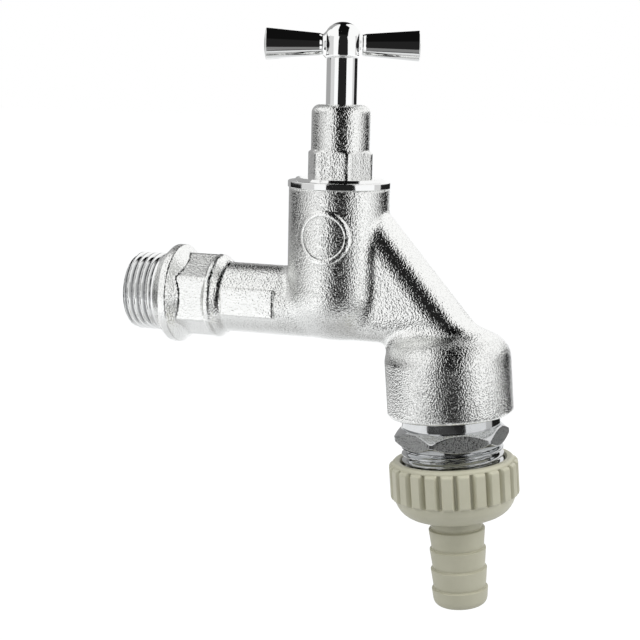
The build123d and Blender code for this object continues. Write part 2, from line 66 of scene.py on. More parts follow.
# Inlet end: thread, ring, hexagon and collar
INLET_THREAD_L = 9.0
INLET_RUN_OUT = 0.35
INLET_LEAD = 1.0
INLET_BORE_R = 6.2
INLET_MOUTH = 0.5
INLET_ROW = 0.22
INLET_SEAM = 0.12
RING_R = 13.2
RING_X = 2.9
RING_ROUND = 0.7
RING_LAND_X = 4.9
RING_LAND_ROUND = 0.65
RING_FOOT_ROUND = 0.2
RING_HEX_SOFT = 0.8
INLET_HEX_AF = 19.5
INLET_HEX_CUT = 0.12
INLET_HEX_SOFT = 0.25
HEX_X = 7.8
HEX_FULL_X = HEX_X + 1.0
HEX_END_X = 18.4
HEX_CHAMFER_X = HEX_END_X - 0.3
HEX_CHAMFER = radians(47.0)
HEX_CHAMFER_SOFT = 1.2
HEX_SOFT = 0.6
COLLAR_X = 13.7
COLLAR_R = 11.1
COLLAR_SLOPE = 1.3

# Tube with its bare pad
TUBE_R = 9.25
TUBE_START = 20.6
PAD_X0 = 19.0
PAD_L = 15.2
PAD_H = 7.6
PAD_RAISE = 0.4
PAD_SINK = 1.8
PAD_CORNER = 0.6
PAD_LEAST_CORNER = 0.15
PAD_EDGE_IN = 0.75
PAD_EDGE_UP = 0.5
PAD_TOP_IN = 2.4

# Barrel with its seat and its plain ring
STEM_X = 48.5
BARREL_R = 13.1
BARREL_TOP = 30.65
BARREL_LOW = -8.85
BARREL_EDGE = 0.5
BARREL_BORE_R = 10.5
FOOT_FLAT = 0.3
SEAT_FLOOR = 8.5
SEAT_Z = 9.5
SEAT_HOLE_R = 5.5
SEAT_LIP_R = 6.9
WAY_PAST_SEAT = 1.2
CUT_OVERLAP = 0.5
RING_SEAT = 1.4
MEDALLION_R = 6.9
MEDALLION_W = 1.45
MEDALLION_FOOT = 0.12
MEDALLION_RAISE = 0.45
MEDALLION_SINK = 0.3
MEDALLION_CROWN = 0.85
MEDALLION_Z = 18.65

# Sloped spout and the fillets of the casting
SPOUT_HALF = 8.0
SPOUT_RIDGE_Z = 24.85
BELLY_SOFT = 4.0
DUCT_R = 5.6
CAST_FILLET = 1.5
RIDGE_FILLET = 0.7
FILLET_LOW_Z = 15.0
FILLET_HIGH_Z = 22.0
BELL_FILLET = 3.2

# Bell on the tilted outlet axis
OUTLET_X = STEM_X + 29.15
TILT = radians(5.2)
BELL_R = 16.3
BELL_TOP = 5.6
BELL_LOW = 26.4
BELL_SHOULDER = 7.0
BELL_EDGE = 0.9
BELL_BORE_R = 12.85
BELL_BORE_S = 15.0
BELL_CAVITY_S = 10.5
BELL_CAVITY_R = 10.65
RIDGE_SINK = 0.25

# Bonnet
FLANGE_R = 13.4
FLANGE_TOP = 32.3
FLANGE_TOP_ROUND = 0.28
FLANGE_LOW_ROUND = 0.12
STEP_R = 11.2
STEP_CONE = 0.75
STEP_ROUND = 0.15
STEP_FOOT_ROUND = 0.1
PLUG_PLAY = 0.1
PLUG_ROUND = 0.3
BONNET_LOW = 21.05
BONNET_TURN = radians(1.0)
BONNET_HEX_LOW = 33.05
BONNET_HEX_SINK = 0.4
BONNET_HEX_AF = 15.4
BONNET_HEX_CUT = 0.22
BONNET_HEX_SOFT = 0.4
BONNET_HEX_CONE = 0.45
BONNET_CONE_SOFT = 0.35
SLEEVE_LOW = 40.05
SLEEVE_FOOT = 0.6
SLEEVE_FOOT_SOFT = 0.3
SLEEVE_TOP = 51.75
SLEEVE_R = 7.6
SLEEVE_ROUND = 2.2
SLEEVE_MOUTH = 0.3
SLEEVE_ROW = 0.3
SCREW_BORE_R = 5.08
SCREW_BORE_TOP = 33.0
STEM_BORE_R = 4.08
SLEEVE_FOOT_R = SCREW_BORE_R + 0.5
SLEEVE_LIP_R = STEM_BORE_R + 1.1
SLEEVE_STEP_R = STEM_BORE_R + 1.0

# T handle
STEM_R = 4.0
STEM_END_ROUND = 0.3
HANDLE_LOW = 44.0
HANDLE_TURN = radians(18.0)
HUB_LOW = 63.55
HUB_R = 4.92
HUB_H = 9.0
HUB_CROWN = 0.95
HUB_TAPER = 0.97
HUB_FOOT_ROUND = 0.8
HUB_CREASE = 0.12
ARM_Z = HUB_LOW + 3.2
ARM_HALF = 20.0
ARM_END_R = 4.0
ARM_EDGE = 0.3
ARM_EDGE_ROUND = 0.25
ARM_DOME = 0.5
ARM_ROOT_R = 2.9
ARM_ROOT_AT = 5.9
ARM_ROOT_ROUND = 0.9
ARM_NECK_R = 2.6
ARM_NECK_L = 0.9
ARM_NECK_ROUND = 0.5
ARM_BOSS_R = ARM_NECK_R + 0.9
ARM_BOSS_IN = 0.75
ARM_BOSS_ROUND = 0.3
ARM_SINK = 2.5

# Outlet nipple
NIPPLE_TOP = -16.4
NIPPLE_END = -45.5
NIPPLE_TURN = radians(23.0)
NIPPLE_BORE_R = 10.0
NIPPLE_WAY_R = 7.5
CHECK_LOW = -35.4
NECK_R = 12.75
NECK_EDGE = 0.3
NECK_CUT = 0.5
NIPPLE_HEX_TOP = -29.5
NIPPLE_HEX_LOW = -34.5
NIPPLE_HEX_AF = 26.6
NIPPLE_HEX_CUT = 0.1
NIPPLE_HEX_SOFT = 0.15
NIPPLE_HEX_R = 14.95
NIPPLE_FACE_R = 12.95
NIPPLE_CHAMFER = radians(44.0)
NIPPLE_CONE_SOFT = 0.12
NIPPLE_HEX_ROWS = 56
FLAT_MARGIN = 0.05
CORNER_MARGIN = 0.02
HOSE_LEAD = 0.9
HOSE_START = 0.02
HOSE_FADE_UP = 0.6

# Union nut
NUT_TOP = -38.2
NUT_LOW = -53.7
NUT_BORE_R = 13.4205
NUT_BASE_R = 15.8205
NUT_MOUTH = 0.6
NUT_MOUTH_ROUND = 0.15
NUT_SHOULDER = 0.9
NUT_DOME = 6.5
NUT_HOLE_R = 7.6
NUT_HOLE_ROUND = 0.25
NUT_FLOOR_ROUND = 0.4
NUT_ROW = 0.25
NUT_RIBS = 24
NUT_RIB_SHARE = 0.64
NUT_RIB_DEPTH = 0.94
NUT_RIB_L = 9.0
NUT_RIB_IN = 1.5
NUT_RIB_EASE = 0.7
GROOVE_CUT = 0.8
GROOVE_FLOOR = 0.2

# Hose tail
TAIL_FLANGE_TOP = -47.5
TAIL_FLANGE_LOW = -49.5
TAIL_FLANGE_R = 12.5205
TAIL_FLANGE_ROUND = 0.2
TAIL_NECK_R = 6.8
TAIL_BORE_R = 4.8
TAIL_END = -77.68
TAIL_END_ROUND = 2.2
TAIL_MOUTH_ROUND = 0.3
TAIL_ROW = 1.2
BARBS = 4
BARB_R = 7.4
BARB_ROUND = 0.24
BARB_LOW_R = 6.92
BARB_TOP = -57.0
BARB_PITCH = 5.33
BARB_GROOVE = 0.22
BARB_GROOVE_TOP = 0.85
BARB_GROOVE_TOP_ROUND = 0.3
BARB_GROOVE_LOW = 0.2
BARB_GROOVE_LOW_ROUND = 0.15

# Check valve spring
SPRING_LOW = -32.37
SPRING_L = 6.74
SPRING_WIRE = 0.7
SPRING_R = 3.2
SPRING_TURNS = 4.0
SPRING_DEAD = 0.8
SPRING_COIL_PITCH = SPRING_WIRE * 1.04
SPRING_CLOSED = SPRING_COIL_PITCH * SPRING_DEAD

# Fineness of the meshes, and the box of the casting's grid
ARC_STEP = radians(9)
HANDLE_ARC_STEP = radians(4)
QUARTER_PARTS = 6
ROUND_UP = 0.999
SKIN_STEP = 0.47
SKIN_LOW = (TUBE_START, -17.0, -30.0)
SKIN_HIGH = (96.5, 17.0, 31.5)
SLOPE_STEP = 0.02
DRAW_ROUNDS = 3
DRAW_SHARE = 0.5
LEAST_SLOPE = 0.5
HEX_SIDES = 240
FLANGE_SIDES = 160
SHANK_SIDES = 128
ARM_SIDES = 96
DOME_ROWS = 10
RIB_SIDES = 18
TAIL_SIDES = 144
MEDALLION_SIDES = 144
MEDALLION_SECTION = 18
SPRING_STEPS = 256
SPRING_SIDES = 12

# Places of the stem, the outlet, the inlet and the handle, for pieces drawn about their own Z axis
STEM = Matrix.Translation((STEM_X, 0, 0))
OUTLET = Matrix.Translation((OUTLET_X, 0, 0)) @ Matrix.Rotation(-TILT, 4, "Y")
INLET = Matrix(((0, 0, 1, 0), (1, 0, 0, 0), (0, 1, 0, 0), (0, 0, 0, 1)))
HANDLE = STEM @ Matrix.Rotation(HANDLE_TURN, 4, "Z")


# Mesh helpers
def add_piece(name, skin, body, node, materials, place=None, sharp=40):
    """A smooth mesh piece from points in millimetres, riding on a body and standing for a CAD node."""
    points, faces = skin
    points = np.asarray(points, float)
    if place is not None:
        turn = np.array(place)
        points = points @ turn[:3, :3].T + turn[:3, 3]
    mesh = bpy.data.meshes.new(name)
    mesh.from_pydata((points * MM).tolist(), [], faces)
    mesh.update()
    mesh.polygons.foreach_set("use_smooth", np.ones(len(mesh.polygons), bool))
    mesh.set_sharp_from_angle(angle=radians(sharp))
    obj = bpy.data.objects.new(name, mesh)
    bpy.context.scene.collection.objects.link(obj)
    for material in materials:
        mesh.materials.append(material)
    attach(obj, body)
    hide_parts(node)
    return obj


def band_faces(count, around, closed=False, flip=False):
    """Quads between rows of points that each go once round. Closed joins the last row to the first."""
    row = np.arange(count if closed else count - 1)[:, None]
    here = row * around
    below = (row + 1) % count * around
    j = np.arange(around)[None, :]
    after = (j + 1) % around
    corners = [here + j, below + j, below + after, here + after]
    if flip:
        corners = [corners[k] for k in (0, 3, 2, 1)]
    return np.stack(corners, -1).reshape(-1, 4).tolist()


def round_angles(steps):
    """Angles of equal steps once round."""
    return np.arange(steps) * 2 * pi / steps


def wrap(rows, steps, turn=0.0, closed=False):
    """Skin of (height, radius) rows turned about Z. A radius may be an array over the angles."""
    angle = round_angles(steps) + turn
    points = np.empty((len(rows), steps, 3))
    for i, (height, radius) in enumerate(rows):
        points[i, :, 0] = radius * np.cos(angle)
        points[i, :, 1] = radius * np.sin(angle)
        points[i, :, 2] = height
    return points.reshape(-1, 3), band_faces(len(rows), steps, closed)


def rounded(corners, closed=False, step=ARC_STEP):
    """Points of a line through (radius, height, rounding) corners, as (height, radius) rows."""
    rows = []
    count = len(corners)
    for i, (x, y, r) in enumerate(corners):
        if r == 0 or (not closed and i in (0, count - 1)):
            rows.append((y, x))
            continue
        here = Vector((x, y))
        back = (Vector(corners[i - 1][:2]) - here).normalized()
        ahead = (Vector(corners[(i + 1) % count][:2]) - here).normalized()
        half = back.angle(ahead) / 2
        centre = here + (back + ahead).normalized() * (r / sin(half))
        start = here + back * (r / tan(half)) - centre
        sweep = pi - 2 * half
        side = 1 if back.cross(ahead) < 0 else -1
        parts = max(2, int(sweep / step) + 1)
        for k in range(parts + 1):
            t = side * sweep * k / parts
            height = centre.y + start.x * sin(t) + start.y * cos(t)
            rows.append((height, centre.x + start.x * cos(t) - start.y * sin(t)))
    return rows


def dense(rows, step):
    """The same line with no run longer than step."""
    out = [rows[0]]
    for (h0, r0), (h1, r1) in zip(rows, rows[1:]):
        parts = max(1, int(hypot(h1 - h0, r1 - r0) / step + ROUND_UP))
        for k in range(1, parts + 1):
            out.append((h0 + (h1 - h0) * k / parts, r0 + (r1 - r0) * k / parts))
    return out


def soft_min(a, b, k):
    """The smaller of two values, eased where they come within k of each other."""
    h = np.maximum(k - np.abs(a - b), 0) / k
    return np.minimum(a, b) - h * h * k / 4


def soft_max(a, b, k):
    """The larger of two values, eased in the same way."""
    return -soft_min(-a, -b, k)


def round_union(a, b, r):
    """Two distance fields joined with a fillet of radius r."""
    u = np.maximum(r - a, 0)
    v = np.maximum(r - b, 0)
    return np.maximum(r, np.minimum(a, b)) - np.hypot(u, v)


def common(*fields):
    """What all the distance fields have in common."""
    return reduce(np.maximum, fields)


def thread_cut(phase):
    """Depth of a rounded pipe thread, 0 on the crest and 1 in the root."""
    t = np.abs(2 * (phase - np.floor(phase)) - 1)
    straight = np.clip((t - THREAD_CREST) / THREAD_FLANK, 0, 1)
    return THREAD_STRAIGHT * straight + (1 - THREAD_STRAIGHT) * (0.5 - 0.5 * np.cos(pi * t))


def hex_radius(angle, across, corner_cut, soft):
    """Radius of a hexagon with a corner at angle 0, its corners eased."""
    off = (angle + TINY) % (pi / 3) - pi / 6
    return soft_min(across / 2 / np.cos(off), across / sqrt(3) - corner_cut, soft)


# Casting as a distance field, outside and inside
ridge_top = np.array((STEM_X + BARREL_R, SPOUT_RIDGE_Z))
shoulder_r = BELL_R - BELL_SHOULDER
ridge_down = BELL_TOP + RIDGE_SINK
ridge_low = np.array((
    OUTLET_X + shoulder_r * cos(TILT) + ridge_down * sin(TILT),
    shoulder_r * sin(TILT) - ridge_down * cos(TILT),
))
ridge_length = np.linalg.norm(ridge_low - ridge_top)
ridge_along = (ridge_low - ridge_top) / ridge_length
ridge_up = np.array((-ridge_along[1], ridge_along[0]))
spout_end = ridge_low[0] + ridge_along[0] * BELL_SHOULDER / 2


def outlet_place(x, z):
    """Distance across the outlet axis in the middle plane, and the way down it."""
    dx = x - OUTLET_X
    return dx * cos(TILT) + z * sin(TILT), dx * sin(TILT) - z * cos(TILT)


def above_spout(x, z):
    """Height over the middle line of the sloped spout, square to it."""
    return (x - ridge_top[0]) * ridge_up[0] + (z - ridge_top[1]) * ridge_up[1] + SPOUT_HALF


def bell_skin(x, y, z):
    """Bell with a round shoulder and an eased lower edge."""
    across, down = outlet_place(x, z)
    bell_r = np.hypot(across, y)
    over = np.maximum(BELL_TOP + BELL_SHOULDER - down, 0)
    shoulder = np.hypot(np.maximum(bell_r - shoulder_r, 0), over)
    side = bell_r - (BELL_R - BELL_EDGE)
    low = down - (BELL_LOW - BELL_EDGE)
    corner = np.hypot(np.maximum(side, 0), np.maximum(low, 0))
    edge = corner - BELL_EDGE + np.minimum(np.maximum(side, low), 0)
    return np.maximum(shoulder - BELL_SHOULDER, edge)


def outer_skin(x, y, z):
    """Tube, barrel with a round foot, sloped spout with its web, and the bell."""
    tube = np.maximum(np.hypot(y, z) - TUBE_R, x - STEM_X)
    foot_r = BARREL_R - FOOT_FLAT
    foot_out = np.maximum(np.hypot(x - STEM_X, y) - FOOT_FLAT, 0)
    foot_down = np.maximum(BARREL_LOW + foot_r - z, 0)
    barrel = soft_max(np.hypot(foot_out, foot_down) - foot_r, z - BARREL_TOP, BARREL_EDGE)
    duct = np.hypot(y, np.maximum(above_spout(x, z), 0)) - SPOUT_HALF
    belly = np.hypot(y, np.minimum(z, 0)) - TUBE_R
    spout = common(soft_max(duct, belly, BELLY_SOFT), x - spout_end, STEM_X - x)
    rise = np.clip((z - FILLET_LOW_Z) / (FILLET_HIGH_Z - FILLET_LOW_Z), 0, 1)
    fillet = CAST_FILLET + (RIDGE_FILLET - CAST_FILLET) * rise
    body = round_union(barrel, np.minimum(tube, spout), fillet)
    body = np.maximum(body, z - BARREL_TOP)
    return round_union(body, bell_skin(x, y, z), BELL_FILLET)


def hollow(x, y, z):
    """Inlet way, seat, chamber, ring groove, sloped duct, and the bell's bore and cavity."""
    stem_r = np.hypot(x - STEM_X, y)
    over_seat = z - SEAT_Z - CUT_OVERLAP
    way = np.maximum(np.hypot(y, z) - INLET_BORE_R, x - STEM_X - SEAT_HOLE_R - WAY_PAST_SEAT)
    hole = common(stem_r - SEAT_HOLE_R, -z, over_seat)
    chamber = np.maximum(stem_r - BARREL_BORE_R, SEAT_Z - z)
    gutter = common(stem_r - BARREL_BORE_R, SEAT_LIP_R - stem_r, SEAT_FLOOR - z, over_seat)
    groove = np.maximum(stem_r - BARREL_BORE_R - RING_SEAT, BARREL_TOP - RING_SEAT - z)
    along = (x - ridge_top[0]) * ridge_along[0] + (z - ridge_top[1]) * ridge_along[1]
    within = np.abs(along - ridge_length / 2) - ridge_length / 2
    duct = np.maximum(np.hypot(y, above_spout(x, z)) - DUCT_R, within)
    across, down = outlet_place(x, z)
    bell_r = np.hypot(across, y)
    bore = np.maximum(bell_r - BELL_BORE_R, BELL_BORE_S - down)
    cavity = common(bell_r - BELL_CAVITY_R, BELL_CAVITY_S - down, down - BELL_BORE_S - CUT_OVERLAP)
    return np.minimum.reduce([way, hole, chamber, gutter, groove, duct, bore, cavity])


def casting(x, y, z):
    """The outside with the hollow cut out of it."""
    return np.maximum(outer_skin(x, y, z), -hollow(x, y, z))


def cell_points(full, cells):
    """Middle of the places where the edges of each cell cross the zero surface, in cells."""
    total = np.zeros((len(cells), 3))
    hits = np.zeros(len(cells))
    for axis in range(3):
        for p in (0, 1):
            for q in (0, 1):
                start = np.zeros(3, int)
                start[[a for a in range(3) if a != axis]] = (p, q)
                end = start.copy()
                end[axis] = 1
                fa = full[tuple((cells + start).T)]
                fb = full[tuple((cells + end).T)]
                cross = (fa < 0) != (fb < 0)
                t = np.where(cross, fa / np.where(cross, fa - fb, 1), 0)
                spot = start + np.outer(t, end - start)
                total += np.where(cross[:, None], spot, 0)
                hits += cross
    return cells + total / hits[:, None]


def cell_quads(inside, index):
    """One quad round each grid edge that crosses the zero surface."""
    shape = index.shape
    faces = []
    for axis, (u, v) in enumerate(((1, 2), (2, 0), (0, 1))):
        a = np.take(inside, range(shape[axis]), axis)
        b = np.take(inside, range(1, shape[axis] + 1), axis)
        edges = np.argwhere(a != b)
        keep = np.all([(edges[:, w] > 0) & (edges[:, w] < shape[w]) for w in (u, v)], axis=0)
        edges = edges[keep]
        flip = a[tuple(edges.T)]
        ring = []
        for du, dv in ((1, 1), (0, 1), (0, 0), (1, 0)):
            cell = edges.copy()
            cell[:, u] -= du
            cell[:, v] -= dv
            ring.append(index[tuple(cell.T)])
        quads = np.stack(ring, 1)
        quads[~flip] = quads[~flip][:, ::-1]
        faces.append(quads)
    return np.concatenate(faces)


def slope_of(field, points):
    """Slope of a field at some points, along each axis."""
    slopes = []
    for axis in np.eye(3):
        ahead = field(*(points + SLOPE_STEP * axis).T)
        behind = field(*(points - SLOPE_STEP * axis).T)
        slopes.append((ahead - behind) / (2 * SLOPE_STEP))
    return np.stack(slopes, 1)


def skin_mesh(field, low, high, step):
    """Quads on the zero surface of a field, each corner drawn onto the surface."""
    axes = [a + step * np.arange(int((b - a) / step) + 2) for a, b in zip(low, high)]
    value = field(*np.meshgrid(*axes, indexing="ij", sparse=True))
    full = np.broadcast_to(value, [len(a) for a in axes])
    inside = full < 0
    shape = np.array(full.shape) - 1
    count = np.zeros(shape, np.int8)
    for i, j, k in np.ndindex(2, 2, 2):
        count += inside[i:i + shape[0], j:j + shape[1], k:k + shape[2]]
    cells = np.argwhere((count > 0) & (count < 8))
    index = np.full(shape, -1, np.int64)
    index[tuple(cells.T)] = np.arange(len(cells))
    points = np.array(low) + cell_points(full, cells) * step
    for _ in range(DRAW_ROUNDS):
        slope = slope_of(field, points)
        steepness = np.maximum((slope**2).sum(1), LEAST_SLOPE**2)
        move = -(field(*points.T) / steepness)[:, None] * slope
        length = np.linalg.norm(move, axis=1, keepdims=True)
        points = points + move * np.minimum(1, DRAW_SHARE * step / np.maximum(length, TINY))
    return points, cell_quads(inside, index).tolist()


# Material helpers
METAL = 1.0
PLASTIC = 0.0


def shader(name, colour, metallic, roughness):
    """A new material, its node tree and its shader node."""
    mat = bpy.data.materials.new(name)
    mat.use_nodes = True
    node = mat.node_tree.nodes["Principled BSDF"]
    node.inputs["Base Color"].default_value = (*colour, 1)
    node.inputs["Metallic"].default_value = metallic
    node.inputs["Roughness"].default_value = roughness
    return mat, mat.node_tree, node


def noise(tree, grain, detail, rough=0.5):
    """Noise with a grain in millimetres."""
    coords = tree.nodes.new("ShaderNodeTexCoord")
    scale = tree.nodes.new("ShaderNodeMapping")
    scale.inputs["Scale"].default_value = (1 / (grain * MM),) * 3
    texture = tree.nodes.new("ShaderNodeTexNoise")
    texture.inputs["Scale"].default_value = 1.0
    texture.inputs["Detail"].default_value = detail
    texture.inputs["Roughness"].default_value = rough
    tree.links.new(coords.outputs["Object"], scale.inputs["Vector"])
    tree.links.new(scale.outputs["Vector"], texture.inputs["Vector"])
    return texture.outputs["Fac"]


def object_distance(tree, share=(1, 1, 1)):
    """Distance from the object's origin, with a share of each axis."""
    coords = tree.nodes.new("ShaderNodeTexCoord")
    scale = tree.nodes.new("ShaderNodeMapping")
    scale.inputs["Scale"].default_value = share
    length = tree.nodes.new("ShaderNodeVectorMath")
    length.operation = "LENGTH"
    tree.links.new(coords.outputs["Object"], scale.inputs["Vector"])
    tree.links.new(scale.outputs["Vector"], length.inputs[0])
    return length.outputs["Value"]


def spread(tree, value, low, high, from_low=0.3, from_high=0.7):
    """A value brought from one range to another."""
    node = tree.nodes.new("ShaderNodeMapRange")
    node.inputs["From Min"].default_value = from_low
    node.inputs["From Max"].default_value = from_high
    node.inputs["To Min"].default_value = low
    node.inputs["To Max"].default_value = high
    tree.links.new(value, node.inputs["Value"])
    return node.outputs["Result"]


def ramp(tree, value, first, last, low=0.3, high=0.7):
    """A colour between two, as the value goes from low to high."""
    node = tree.nodes.new("ShaderNodeValToRGB")
    node.color_ramp.elements[0].position = low
    node.color_ramp.elements[0].color = (*first, 1)
    node.color_ramp.elements[1].position = high
    node.color_ramp.elements[1].color = (*last, 1)
    tree.links.new(value, node.inputs["Fac"])
    return node.outputs["Color"]


def bump(tree, node, value, strength, depth):
    """Bumps on a shader node, with a depth in millimetres."""
    bumps = tree.nodes.new("ShaderNodeBump")
    bumps.inputs["Strength"].default_value = strength
    bumps.inputs["Distance"].default_value = depth * MM
    tree.links.new(value, bumps.inputs["Height"])
    tree.links.new(bumps.outputs["Normal"], node.inputs["Normal"])


def two_inputs(tree, operation, first, second):
    """Output of a Math node that takes two sockets."""
    node = tree.nodes.new("ShaderNodeMath")
    node.operation = operation
    tree.links.new(first, node.inputs[0])
    tree.links.new(second, node.inputs[1])
    return node.outputs["Value"]


# Materials, with grain and depth in millimetres
def cast_chrome(name, pit_shade, colour, grain, depth, rough):
    """Chromed casting: a fine grain with painted shade in its pits, and a gloss that varies broadly."""
    mat, tree, node = shader(name, colour, METAL, rough[1])
    fine = noise(tree, grain, detail=1.2, rough=0.45)
    broad = noise(tree, grain=9.0, detail=3.0)
    # Painted shade in the grain's pits: the low spots of the grain fade to the darker pit colour
    tree.links.new(ramp(tree, fine, pit_shade, colour, low=0.34, high=0.52), node.inputs["Base Color"])
    tree.links.new(spread(tree, broad, *rough), node.inputs["Roughness"])
    bump(tree, node, fine, strength=1.0, depth=depth)
    return mat


def bright_chrome(name, colour, rough):
    """Smooth plated metal with faint changes of gloss."""
    mat, tree, node = shader(name, colour, METAL, rough[1])
    gloss = noise(tree, grain=1.5, detail=4.0)
    tree.links.new(spread(tree, gloss, *rough), node.inputs["Roughness"])
    return mat


def thread_chrome(name, root, crest, rough, root_r, crest_r):
    """Smooth plated metal with painted shade in the thread's roots; the thread's axis is X."""
    mat, tree, node = shader(name, crest, METAL, rough[1])
    off_axis = object_distance(tree, (0, 1, 1))
    height = spread(tree, off_axis, 0.0, 1.0, root_r * MM, crest_r * MM)
    tree.links.new(ramp(tree, height, root, crest, low=0.0, high=1.0), node.inputs["Base Color"])
    gloss = noise(tree, grain=1.5, detail=4.0)
    tree.links.new(spread(tree, gloss, *rough), node.inputs["Roughness"])
    return mat


def moulded(name, dark, light, rough):
    """Moulded plastic with clouded colour and a fine skin."""
    mat, tree, node = shader(name, light, PLASTIC, rough)
    cloud = noise(tree, grain=7.0, detail=4.0)
    tree.links.new(ramp(tree, cloud, dark, light), node.inputs["Base Color"])
    bump(tree, node, noise(tree, grain=0.35, detail=2.0), strength=0.5, depth=0.012)
    return mat


def plain_inside(name, dark, light, metallic, rough, grain):
    """Finish of an inner piece: clouded colour and a skin six times finer."""
    mat, tree, node = shader(name, light, metallic, rough)
    cloud = noise(tree, grain, detail=3.0)
    tree.links.new(ramp(tree, cloud, dark, light), node.inputs["Base Color"])
    bump(tree, node, noise(tree, grain / 6, detail=2.0), strength=0.4, depth=0.01)
    return mat


# The pit colour of each cast finish below is painted shade in the hollows of its grain
CAST = cast_chrome(
    "cast_satin_chrome",
    pit_shade=(0.71, 0.715, 0.70),
    colour=(0.93, 0.935, 0.92),
    grain=0.40,
    depth=0.165,
    rough=(0.03, 0.06),
)
CAST_FINE = cast_chrome(
    "cast_satin_chrome_fine",
    pit_shade=(0.84, 0.845, 0.83),
    colour=(0.95, 0.955, 0.94),
    grain=0.43,
    depth=0.13,
    rough=(0.07, 0.11),
)
CAST_SLEEVE = cast_chrome(
    "cast_satin_chrome_sleeve",
    pit_shade=(0.68, 0.685, 0.67),
    colour=(0.94, 0.945, 0.93),
    grain=0.42,
    depth=0.155,
    rough=(0.03, 0.06),
)
GROUND = cast_chrome(
    "ground_hexagon_chrome",
    pit_shade=(0.10, 0.10, 0.10),
    colour=(0.42, 0.425, 0.42),
    grain=0.32,
    depth=0.20,
    rough=(0.32, 0.40),
)
STEEL = bright_chrome("turned_steel", (0.62, 0.63, 0.635), rough=(0.07, 0.13))
TURNED = bright_chrome("turned_chrome", (0.93, 0.935, 0.93), rough=(0.05, 0.10))
# The root colour is painted shade in the thread's roots; the crest colour is the plated metal
THREAD = thread_chrome(
    "cut_thread_chrome_root_shade",
    root=(0.50, 0.505, 0.51),
    crest=(0.95, 0.955, 0.95),
    rough=(0.06, 0.12),
    root_r=INLET_THREAD_R - THREAD_SHADE_FULL,
    crest_r=INLET_THREAD_R - THREAD_SHADE_START,
)
POLISHED = bright_chrome("polished_chrome", (0.96, 0.965, 0.96), rough=(0.02, 0.05))
NUT_PLASTIC = moulded(
    "moulded_nut_plastic", dark=(0.470, 0.455, 0.345), light=(0.515, 0.500, 0.390), rough=0.42
)
TAIL_PLASTIC = moulded(
    "moulded_tail_plastic", dark=(0.430, 0.417, 0.315), light=(0.470, 0.455, 0.350), rough=0.45
)
RUBBER = plain_inside(
    "black_rubber",
    dark=(0.012, 0.012, 0.012),
    light=(0.03, 0.03, 0.03),
    metallic=PLASTIC,
    rough=0.6,
    grain=2.0,
)
BRASS = plain_inside(
    "turned_brass",
    dark=(0.62, 0.44, 0.16),
    light=(0.72, 0.53, 0.22),
    metallic=METAL,
    rough=0.28,
    grain=3.0,
)
WHITE = plain_inside(
    "moulded_white",
    dark=(0.72, 0.72, 0.69),
    light=(0.80, 0.80, 0.77),
    metallic=PLASTIC,
    rough=0.4,
    grain=4.0,
)
SPRING = plain_inside(
    "spring_wire",
    dark=(0.52, 0.52, 0.53),
    light=(0.62, 0.62, 0.63),
    metallic=METAL,
    rough=0.25,
    grain=1.0,
)

# Inner pieces that keep their CAD shape
INSIDE = {
    "bonnet_o_ring": RUBBER,
    "spindle": BRASS,
    "spindle_o_ring_lower": RUBBER,
    "spindle_o_ring_upper": RUBBER,
    "jumper": BRASS,
    "seat_washer": RUBBER,
    "washer_nut": BRASS,
    "nipple_gasket": RUBBER,
    "check_valve_shell": WHITE,
    "check_valve_o_ring": RUBBER,
    "check_valve_guide": WHITE,
    "check_poppet": WHITE,
    "poppet_seal": RUBBER,
    "union_gasket": RUBBER,
}


def dress_inside():
    """Each inner piece in its own finish."""
    for node, material in INSIDE.items():
        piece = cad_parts[node]
        for slot in piece.material_slots:
            slot.material = material
        if not piece.material_slots:
            piece.data.materials.append(material)


# Casting from the tube to the bell, with a shallower grain on the tube and the spout
FINE_BEFORE_X = STEM_X - BARREL_R - 1.5
FINE_AFTER_X = STEM_X + BARREL_R - 0.2
FINE_HALF_Y = 1.2 * TUBE_R


def make_cast_body():
    points, faces = skin_mesh(casting, SKIN_LOW, SKIN_HIGH, SKIN_STEP)
    points[points[:, 0] < TUBE_START + SKIN_STEP, 0] = TUBE_START
    cast = add_piece("cast_body", (points, faces), "tap_body", "valve_body", [CAST, CAST_FINE], sharp=50)
    x, y, z = np.array([p.center for p in cast.data.polygons]).T / MM
    on_spout = (x > FINE_AFTER_X) & (np.abs(y) < FINE_HALF_Y) & (z > -BELL_TOP)
    fine = (x < FINE_BEFORE_X) | on_spout
    cast.data.polygons.foreach_set("material_index", fine.astype(int))


